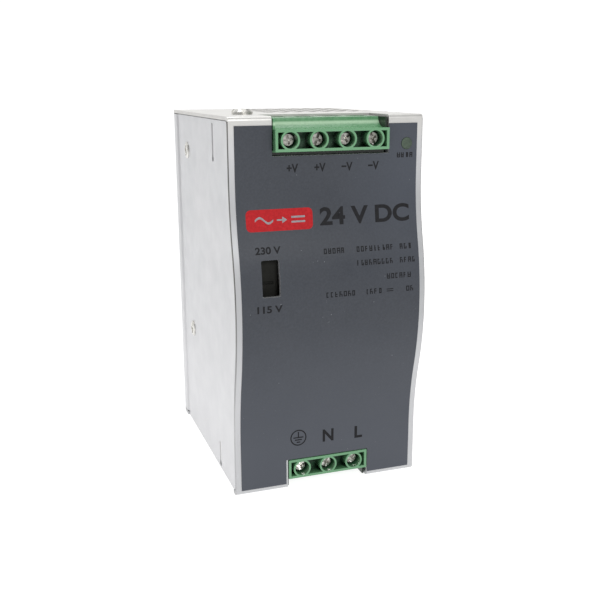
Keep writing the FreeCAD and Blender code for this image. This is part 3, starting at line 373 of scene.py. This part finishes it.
def terminal_green(side):
    """Green polyamide: a painted highlight on the front rim and along the cove above it, and painted
    shade in the sunk places, under the frame and on the inner face of the right cheek.
    """
    low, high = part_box(f"{side}_terminal_housing")
    screw_low, screw_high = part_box(f"{side}_screw_1")
    level = (screw_low.z + screw_high.z) / 2
    rim_reach, pocket_reach, under_reach = 3.6 * MM, 2.9 * MM, 3.8 * MM
    finish = Finish("green_polyamide", srgb(84, 134, 94), 0.34)
    drift = finish.colors(finish.spread(finish.noise(4 * MM, detail=4), 0.35, 0.7),
                          srgb(82, 138, 94), srgb(98, 152, 108))
    depth, up, across = (finish.along(letter) for letter in "YZX")
    # Painted highlight: the front face of the frame and rims is paler.
    painted_rim_highlight = finish.product(finish.spread(depth, low.y + 0.05 * MM, low.y + 0.5 * MM, 1.0, 0.0),
                         finish.between(up, level - rim_reach, level + rim_reach, 0.1 * MM))
    rim_highlighted = finish.colors(painted_rim_highlight, drift, srgb(105, 154, 115))
    # Painted shade: the screw wells and the sunk places along the screw row are darkened.
    painted_pocket_shade = finish.product(finish.between(up, level - pocket_reach, level + pocket_reach,
                                           0.3 * MM),
                            finish.spread(depth, low.y + 0.6 * MM, low.y + 3.2 * MM))
    # Painted shade: the inner face of the right cheek, behind the front, is darkened.
    corner = finish.product(finish.spread(across, high.x - 0.75 * MM, high.x - 0.62 * MM),
                            finish.spread(depth, low.y + 1.9 * MM, low.y + 2.2 * MM))
    # Painted highlight: a pale band along the cove above the frame.
    painted_cove_highlight = finish.product(finish.spread(up, high.z - 2.5 * MM, high.z - 1.8 * MM),
                           finish.spread(up, high.z - 1.5 * MM, high.z - 0.9 * MM, 1.0, 0.0))
    cove_highlighted = finish.colors(painted_cove_highlight, rim_highlighted, srgb(176, 208, 176))
    pocket_shaded = finish.colors(painted_pocket_shade, cove_highlighted, srgb(46, 78, 56))
    # Painted shadow: the body below and behind the frame is darkened.
    painted_under_shadow = finish.product(finish.spread(up, level - under_reach - 0.1 * MM,
                                         level - under_reach, 1.0, 0.0),
                           finish.spread(depth, low.y + 0.6 * MM, low.y + 0.7 * MM))
    shaded = finish.colors(painted_under_shadow, pocket_shaded, srgb(22, 30, 24))
    finish.base(finish.colors(corner, shaded, srgb(24, 40, 28)))
    finish.roughness(finish.noise(1.4 * MM, detail=3), 0.2, 0.34)
    return finish.bump(finish.noise(0.7 * MM, detail=2), 0.01 * MM, 0.3)


def metal(name, color, dull, roughness=0.3, grain=(1, 1, 1)):
    """Plated metal: dull patches and fine scratches, drawn out along an axis by the grain."""
    finish = Finish(name, color, roughness, metallic=1.0)
    patches = finish.spread(finish.noise(2 * MM, detail=5), 0.4, 0.7)
    finish.base(finish.colors(patches, color, dull))
    finish.roughness(finish.noise(1.2 * MM, detail=5), roughness - 0.08, roughness + 0.14)
    return finish.bump(finish.noise(0.3 * MM, detail=3, stretch=grain), 0.01 * MM, 0.4)


def board_laminate():
    """Green solder mask over glass cloth, with the weave just showing, and pale cut ends."""
    finish = Finish("board_laminate", srgb(60, 110, 60), 0.35)
    weave = finish.spots(0.7 * MM)
    mask = finish.colors(finish.spread(weave, 0.1, 0.6), srgb(54, 104, 58), srgb(84, 130, 72))
    cut_end = finish.spread(finish.along("X"), -31.2 * MM, -31.0 * MM, 1.0, 0.0)
    finish.base(finish.colors(cut_end, mask, srgb(226, 226, 224)))
    return finish.bump(weave, 0.01 * MM, 0.3)


def solid_ink(name, color):
    """Screen-printed ink, a little uneven and raised."""
    finish = Finish(name, color, 0.6, Specular_IOR_Level=0.25)
    drift = tuple(min(1, channel * 1.35 + 0.004) for channel in color[:3]) + (1,)
    finish.base(finish.colors(finish.spread(finish.noise(0.8 * MM, detail=4), 0.4, 0.8), color,
                              drift))
    return finish.bump(finish.noise(0.4 * MM), 0.006 * MM, 0.4)


def lamp_lens():
    """Tinted lamp lens, unlit, with depth from a clear coat."""
    finish = Finish("lamp_lens", srgb(56, 72, 58), 0.3, Coat_Weight=0.2, IOR=1.49)
    finish.base(finish.colors(finish.spread(finish.noise(1.2 * MM), *NOISE_SPAN),
                              srgb(48, 62, 50), srgb(68, 84, 68)))
    return finish.bump(finish.noise(0.9 * MM), 0.02 * MM, 0.4)


MOULDED = {                            # slot: colour, worn colour, roughness
    "insulation": ((228, 222, 196), (216, 208, 180), 0.3),
    "blue_trimmer": ((46, 96, 170), (60, 110, 180), 0.4),
    "white_rotor": ((232, 232, 226), (218, 216, 206), 0.45),
    "fuse_glass": ((214, 214, 208), (196, 196, 188), 0.15),
    "thermistor_coat": ((38, 84, 52), (50, 98, 64), 0.3),
    "film_capacitor": ((206, 178, 70), (192, 164, 60), 0.35),
    "ceramic_blue": ((60, 120, 190), (72, 132, 200), 0.35),
    "winding_tape": ((214, 176, 52), (196, 158, 44), 0.25),
    "can_sleeve": ((40, 42, 58), (52, 54, 72), 0.25),
}
METALS = {                             # slot: colour, dull colour, roughness, stretch of the grain
    "case_screw": ((226, 225, 220), (190, 188, 182), 0.26, (1, 1, 1)),
    "nickel_screw": ((190, 189, 184), (138, 135, 128), 0.3, (1, 1, 1)),
    "zinc_steel": ((196, 198, 196), (160, 164, 160), 0.36, (1, 1, 0.2)),
    "tinned_contact": ((205, 202, 190), (170, 165, 150), 0.35, (1, 1, 1)),
    "copper_wire": ((196, 110, 62), (150, 76, 44), 0.28, (1, 1, 1)),
    "sink_aluminium": ((206, 208, 212), (176, 178, 182), 0.4, (1, 1, 0.15)),
}
# Side and top screws take the brighter case-screw metal; the input terminal's screws are nickel like
# the output's and take it as a painted glint.
CASE_SCREWS_AND_PAINTED_GLINTS = ("side_screws", "top_screw", "input_screw_1", "input_screw_2", "input_screw_3")


def make_finishes():
    """A finish for each of the record's material slots, and a few for single nodes."""
    finishes = {
        "case_aluminium": case_aluminium(),
        "bent_aluminium": case_aluminium("bent_aluminium", bent=True),
        "label_film": label_film(),
        "output_green": terminal_green("output"),
        "input_green": terminal_green("input"),
        "board_laminate": board_laminate(),
        "lamp_lens": lamp_lens(),
        "black_plastic": moulded("black_plastic", srgb(30, 30, 28), srgb(38, 38, 35), 0.7,
                                 Specular_IOR_Level=0.25),
        "red_slider": moulded("red_slider", srgb(31, 31, 29), srgb(35, 35, 32), 0.8,
                              Specular_IOR_Level=0.2),
        "ferrite": moulded("ferrite", srgb(56, 55, 54), srgb(74, 72, 70), 0.6, 0.4 * MM),
    }
    for slot, (color, worn, roughness) in MOULDED.items():
        finishes[slot] = moulded(slot, srgb(*color), srgb(*worn), roughness)
    for slot, (color, dull, roughness, grain) in METALS.items():
        finishes[slot] = metal(slot, srgb(*color), srgb(*dull), roughness, grain)
    return finishes


def paint_nodes():
    """Put each CAD node's finish on it: its slot's, or one of its own."""
    finishes = make_finishes()
    own = {"front_cover": "bent_aluminium", "output_terminal_housing": "output_green",
           "input_terminal_housing": "input_green"}
    # The input terminal's screws get a painted glint from the brighter case-screw metal.
    own.update({name: "case_screw" for name in CASE_SCREWS_AND_PAINTED_GLINTS})
    for name, slot in slots.items():
        materials = nodes[name].data.materials
        materials.clear()
        materials.append(finishes[own.get(name, slot)].material)


EDGE_WIDTHS = {"case_aluminium": 0.15, "green_polyamide": 0.16, "zinc_steel": 0.15,
               "nickel_screw": 0.08, "black_plastic": 0.12, "red_slider": 0.12}
EDGE_ANGLE = math.radians(40)


def soften_edges():
    """A narrow bevel on the carried-over nodes, so their edges catch light."""
    for name, slot in slots.items():
        if slot in EDGE_WIDTHS:
            bevel = nodes[name].modifiers.new("edge", "BEVEL")
            bevel.width = EDGE_WIDTHS[slot] * MM
            bevel.segments = 2
            bevel.limit_method = "ANGLE"
            bevel.angle_limit = EDGE_ANGLE
            bevel.harden_normals = False


def make_spring():
    """The latch's spring as a piece of its own, smooth-shaded and carried with the case, in place of
    the CAD spring.
    """
    spring = bpy.data.objects.new("latch_coil", nodes["latch_spring"].data.copy())
    scene.collection.objects.link(spring)
    for face in spring.data.polygons:
        face.use_smooth = True
    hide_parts("latch_spring")
    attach(spring, "case")
    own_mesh(spring)


# ---------------------------------------------------------------- marks on the label

INK_LIFT = 0.03 * MM
BAND = 0.8 * MM                        # marks are cut to this height before they are laid on
IN_FRONT = -0.1                        # a place in front of the whole case, on Y

# Places on the label, in millimetres: left, low, right, high.
POLARITY = ("+V", "+V", "\u2212V", "\u2212V")
POLARITY_LOW, POLARITY_HIGH, POLARITY_WIDE = 107.75, 110.5, 3.8
POLARITY_SHIFT, POLARITY_SQUEEZE, POLARITY_MIDDLE = 0.95, 0.03, 1.5
WORDS = (
    ("230 V", -25.6, 82.9, -17.2, 85.2),
    ("115 V", -25.9, 64.4, -17.5, 66.7),
    ("24 V DC", -3.4, 90.7, 28.1, 96.5),
)
WORD_WEIGHT = 0.03
LINE_WORDS = (                         # left, right and level of each group of strokes
    (-2.8, 5.3, 82.6), (8.6, 22.4, 82.6), (24.0, 29.3, 82.6),
    (8.2, 22.2, 78.2), (23.8, 29.2, 78.2), (18.9, 28.6, 73.2),
    (-2.6, 8.6, 68.6), (11.2, 17.8, 68.6), (25.8, 28.4, 68.6),
)
LAMP_WORDS = (23.7, 29.7, 112.2)
DIRECT_SIGN = ((18.7, 68.75, 21.1, 69.05), (18.7, 68.1, 21.1, 68.4))
NEUTRAL = (-2.1, 15.4, 1.9, 19.9)      # left and right of N and L are from the screw's middle
LIVE = (0.2, 15.1, 3.1, 19.5)
EARTH_SHIFT, EARTH_LEVEL, EARTH_RADIUS, EARTH_LINE = 1.4, 18.2, 2.9, 0.42
EARTH_STEM = (18.4, 20.3)
EARTH_STEM_HALF = 0.21
EARTH_BARS = ((1.8, 18.05), (1.25, 17.2), (0.65, 16.35))      # half width and level
BADGE = (-27.9, 89.9, -5.8, 96.7)
BADGE_CORNER = 1.6
WAVE_LEFT, WAVE_LEVEL, WAVE_RISE, WAVE_HALF_LINE = -25.0, 93.25, 0.9, 0.35
ARROW_SHAFT = (-17.8, 93.0, -16.0, 93.5)
ARROW_HEAD = ((-16.0, 92.2), (-14.4, 93.25), (-16.0, 94.3))
BADGE_LINES = ((-13.0, 93.7, -8.4, 94.3), (-13.0, 92.2, -8.4, 92.8))


def label_surface():
    """The label's face, for rays to hit."""
    mesh = bmesh.new()
    mesh.from_mesh(nodes["front_label"].data)
    tree = BVHTree.FromBMesh(mesh)
    mesh.free()
    return tree


class Marks:
    """Printed marks: flat shapes in the label's X and Z, wrapped on to its curved face."""

    def __init__(self, name, ink_name, color):
        self.name = name
        self.ink = solid_ink(ink_name, color)
        self.mesh = bmesh.new()

    def polygon(self, points):
        self.mesh.faces.new([self.mesh.verts.new((x * MM, 0, z * MM)) for x, z in points])

    def bar(self, left, low, right, high):
        self.polygon([(left, low), (right, low), (right, high), (left, high)])

    def pill(self, left, low, right, high, radius, steps=8):
        """A rectangle with round corners."""
        corners = ((right - radius, low + radius, -90), (right - radius, high - radius, 0),
                   (left + radius, high - radius, 90), (left + radius, low + radius, 180))
        points = []
        for x, z, start in corners:
            for step in range(steps + 1):
                angle = math.radians(start + 90 * step / steps)
                points.append((x + radius * math.cos(angle), z + radius * math.sin(angle)))
        self.polygon(points)

    def hoop(self, x, z, radius, line, steps=40):
        for step in range(steps):
            first, second = [2 * math.pi * (step + offset) / steps for offset in (0, 1)]
            self.polygon([(x + reach * math.cos(angle), z + reach * math.sin(angle))
                          for reach, angle in ((radius, first), (radius, second),
                                               (radius - line, second), (radius - line, first))])

    def text(self, words, left, low, right, high):
        """Words stretched to fill a box."""
        curve = bpy.data.curves.new("words", "FONT")
        curve.body = words
        curve.offset = WORD_WEIGHT
        holder = bpy.data.objects.new("words", curve)
        scene.collection.objects.link(holder)
        shape = bpy.data.meshes.new_from_object(
            holder.evaluated_get(bpy.context.evaluated_depsgraph_get()))
        flat = bmesh.new()
        flat.from_mesh(shape)
        across = [vertex.co.x for vertex in flat.verts]
        up = [vertex.co.y for vertex in flat.verts]
        wide = (right - left) / (max(across) - min(across))
        tall = (high - low) / (max(up) - min(up))
        place = {vertex: self.mesh.verts.new(((left + (vertex.co.x - min(across)) * wide) * MM, 0,
                                              (low + (vertex.co.y - min(up)) * tall) * MM))
                 for vertex in flat.verts}
        for face in flat.faces:
            self.mesh.faces.new([place[vertex] for vertex in face.verts])
        flat.free()
        bpy.data.objects.remove(holder)

    def fine_print(self, left, right, z, rng, height=1.75):
        """Strokes that stand for print too small to need words, in groups like words."""
        line, pitch, shortest = 0.34, 1.5, 0.8
        low, high = z - height / 2, z + height / 2
        x = left
        while x + shortest < right:
            wide = min(rng.uniform(0.95, 1.2), right - x)
            start = x if rng.random() < 0.85 else x + 0.3
            self.bar(start, low, start + line, high)
            if rng.random() < 0.7:
                self.bar(x + wide - line, low, x + wide, high - rng.choice((0, height / 2)))
            for level in rng.sample((low, z - line / 2, high - line), 2):
                self.bar(x + line, level, x + wide - line, level + line)
            x += pitch

    def print_on(self, surface, lift=INK_LIFT):
        """Cut into narrow bands, so that it follows the bulge, and lay it on the label."""
        levels = [vertex.co.z for vertex in self.mesh.verts]
        level = min(levels)
        while level < max(levels):
            geometry = self.mesh.verts[:] + self.mesh.edges[:] + self.mesh.faces[:]
            bmesh.ops.bisect_plane(self.mesh, geom=geometry, plane_co=(0, 0, level),
                                   plane_no=(0, 0, 1))
            level += BAND
        for vertex in self.mesh.verts:
            hit, _, _, _ = surface.ray_cast(Vector((vertex.co.x, IN_FRONT, vertex.co.z)),
                                            Vector((0, 1, 0)))
            vertex.co.y = hit.y - lift
        bmesh.ops.recalc_face_normals(self.mesh, faces=self.mesh.faces)
        for face in self.mesh.faces:
            if face.normal.y > 0:
                face.normal_flip()
        data = bpy.data.meshes.new(self.name)
        self.mesh.to_mesh(data)
        self.mesh.free()
        data.materials.append(self.ink.material)
        piece = bpy.data.objects.new(self.name, data)
        scene.collection.objects.link(piece)
        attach(piece, "case")


def poles_across(side, count):
    """The middles of a terminal block's screws on X, in millimetres."""
    boxes = [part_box(f"{side}_screw_{number}") for number in range(1, count + 1)]
    return [500 * (low.x + high.x) for low, high in boxes]


def print_black(surface):
    """Polarities, earth sign, N and L, the selector's positions, the output and fine print."""
    black = Marks("label_marks", "black_ink", srgb(17, 17, 21))
    for words, x in zip(POLARITY, poles_across("output", 4)):
        left = x - POLARITY_SHIFT - POLARITY_SQUEEZE * (x - POLARITY_MIDDLE)
        black.text(words, left, POLARITY_LOW, left + POLARITY_WIDE, POLARITY_HIGH)
    earth, neutral, live = poles_across("input", 3)
    for letter, middle, (left, low, right, high) in (("N", neutral, NEUTRAL), ("L", live, LIVE)):
        black.text(letter, middle + left, low, middle + right, high)
    x = earth - EARTH_SHIFT
    black.hoop(x, EARTH_LEVEL, EARTH_RADIUS, EARTH_LINE)
    low, high = EARTH_STEM
    black.bar(x - EARTH_STEM_HALF, low, x + EARTH_STEM_HALF, high)
    for half, level in EARTH_BARS:
        black.bar(x - half, level, x + half, level + EARTH_LINE)
    for words, *box in WORDS:
        black.text(words, *box)
    rng = random.Random(7)
    for group in LINE_WORDS:
        black.fine_print(*group, rng)
    black.fine_print(*LAMP_WORDS, rng, height=1.6)
    for box in DIRECT_SIGN:
        black.bar(*box)
    black.print_on(surface)


def print_badge(surface):
    """A plain red badge with the signs for alternating and direct current."""
    badge = Marks("label_badge", "red_ink", srgb(168, 16, 24))
    badge.pill(*BADGE, BADGE_CORNER)
    badge.print_on(surface)
    signs = Marks("badge_symbol", "white_ink", srgb(140, 134, 138))
    wave = [(WAVE_LEFT + 0.5 * step, WAVE_LEVEL + WAVE_RISE * math.sin(step * math.pi / 6))
            for step in range(13)]
    for (x0, z0), (x1, z1) in zip(wave, wave[1:]):
        signs.polygon([(x0, z0 - WAVE_HALF_LINE), (x1, z1 - WAVE_HALF_LINE),
                       (x1, z1 + WAVE_HALF_LINE), (x0, z0 + WAVE_HALF_LINE)])
    signs.bar(*ARROW_SHAFT)
    signs.polygon(ARROW_HEAD)
    for box in BADGE_LINES:
        signs.bar(*box)
    signs.print_on(surface, 2 * INK_LIFT)


make_camera()
make_sweep()
light_stage()
paint_nodes()
soften_edges()
make_spring()
label_face = label_surface()
print_black(label_face)
print_badge(label_face)
